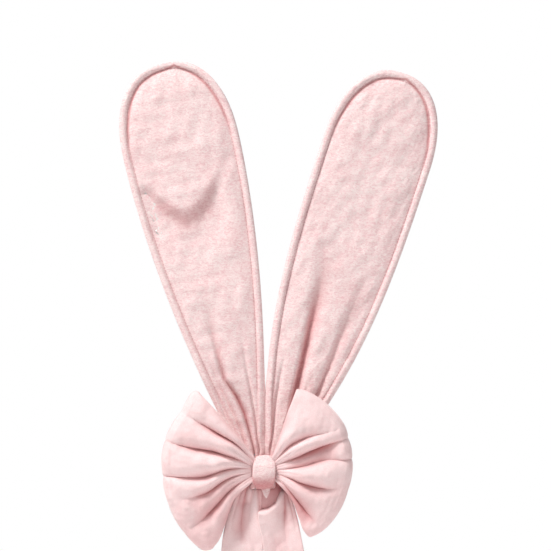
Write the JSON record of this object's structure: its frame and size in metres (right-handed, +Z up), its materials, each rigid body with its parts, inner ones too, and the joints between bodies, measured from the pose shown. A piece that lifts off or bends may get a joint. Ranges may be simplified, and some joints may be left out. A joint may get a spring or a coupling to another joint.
{
  "type": "animal ears headband",
  "caption": "Headband with two long bendable plush rabbit ears, a pleated velvet bow with hanging tails, and a soft padded band with elastic at the back.",
  "frame": {"origin": "centre of the head opening, half way up the band", "axes": "+Z up along the ears; -Y to the front, where the bow faces; +X to the right as seen from the front"},
  "size_m": [0.2562, 0.2079, 0.5021],
  "materials": {
    "ear_plush": "short-pile plush, pale pink, slightly mottled",
    "bow_velvet": "smooth velvet, pale pink",
    "wadding": "thin polyester wadding",
    "wire": "bendable galvanised wire",
    "thread": "twisted sewing thread, pink",
    "felt": "pressed felt, pale pink",
    "elastic": "flat woven elastic, off-white"
  },
  "bodies": {
    "band_and_bow": {"band_sleeve": "ear_plush", "band_padding": "wadding", "front_patch": "felt", "backing_pad": "felt", "pad_stitches": "thread", "bow_tab": "ear_plush", "left_bow_loop": "bow_velvet", "right_bow_loop": "bow_velvet", "bow_waist": "bow_velvet", "gather_thread": "thread", "knot_wrap": "ear_plush", "knot_seam": "thread", "tail_bridge": "bow_velvet"},
    "band_back": {"band_elastic": "elastic", "elastic_casing": "bow_velvet"},
    "left_ear_foot": {"left_ear_neck": "ear_plush", "left_ear_neck_thread": "thread", "left_ear_wire_shank": "wire"},
    "left_ear": {"left_ear_front_lower": "ear_plush", "left_ear_back_lower": "ear_plush", "left_ear_wadding_lower": "wadding", "left_ear_wire_lower": "wire"},
    "left_ear_tip": {"left_ear_front_upper": "ear_plush", "left_ear_back_upper": "ear_plush", "left_ear_wadding_upper": "wadding", "left_ear_wire_upper": "wire"},
    "left_tail": {"left_tail": "bow_velvet"},
    "right_ear_foot": {"right_ear_neck": "ear_plush", "right_ear_neck_thread": "thread", "right_ear_wire_shank": "wire"},
    "right_ear": {"right_ear_front_lower": "ear_plush", "right_ear_back_lower": "ear_plush", "right_ear_wadding_lower": "wadding", "right_ear_wire_lower": "wire"},
    "right_ear_tip": {"right_ear_front_upper": "ear_plush", "right_ear_back_upper": "ear_plush", "right_ear_wadding_upper": "wadding", "right_ear_wire_upper": "wire"},
    "right_tail": {"right_tail": "bow_velvet"}
  },
  "joints": [
    {"name": "band_stretch", "type": "slide", "parent": "band_and_bow", "child": "band_back", "axis": [0, 1, 0], "range_m": [0, 0.025], "stiffness_N_per_m": 200},
    {"name": "left_ear_splay", "type": "hinge", "parent": "band_and_bow", "child": "left_ear_foot", "pos_m": [-0.0065, -0.0931, 0.005], "axis": [0, -1, 0], "range_deg": [0, 20]},
    {"name": "left_ear_lean", "type": "hinge", "parent": "left_ear_foot", "child": "left_ear", "pos_m": [-0.01055, -0.0931, 0.02254], "axis": [-0.9744, 0, -0.225], "range_deg": [0, 40]},
    {"name": "left_ear_fold", "type": "hinge", "parent": "left_ear", "child": "left_ear_tip", "pos_m": [-0.05149, -0.0931, 0.19987], "axis": [-0.9744, 0, -0.225], "range_deg": [-95, 95]},
    {"name": "left_tail_swing", "type": "hinge", "parent": "band_and_bow", "child": "left_tail", "pos_m": [0, -0.1068, -0.0094], "axis": [1, 0, 0], "range_deg": [-8, 40]},
    {"name": "right_ear_splay", "type": "hinge", "parent": "band_and_bow", "child": "right_ear_foot", "pos_m": [0.0065, -0.0931, 0.005], "axis": [0, 1, 0], "range_deg": [0, 20]},
    {"name": "right_ear_lean", "type": "hinge", "parent": "right_ear_foot", "child": "right_ear", "pos_m": [0.01212, -0.0931, 0.0221], "axis": [-0.95, 0, 0.3123], "range_deg": [0, 40]},
    {"name": "right_ear_fold", "type": "hinge", "parent": "right_ear", "child": "right_ear_tip", "pos_m": [0.06897, -0.0931, 0.19499], "axis": [-0.95, 0, 0.3123], "range_deg": [-95, 95]},
    {"name": "right_tail_swing", "type": "hinge", "parent": "band_and_bow", "child": "right_tail", "pos_m": [0, -0.1068, -0.0094], "axis": [1, 0, 0], "range_deg": [-8, 40]}
  ]
}
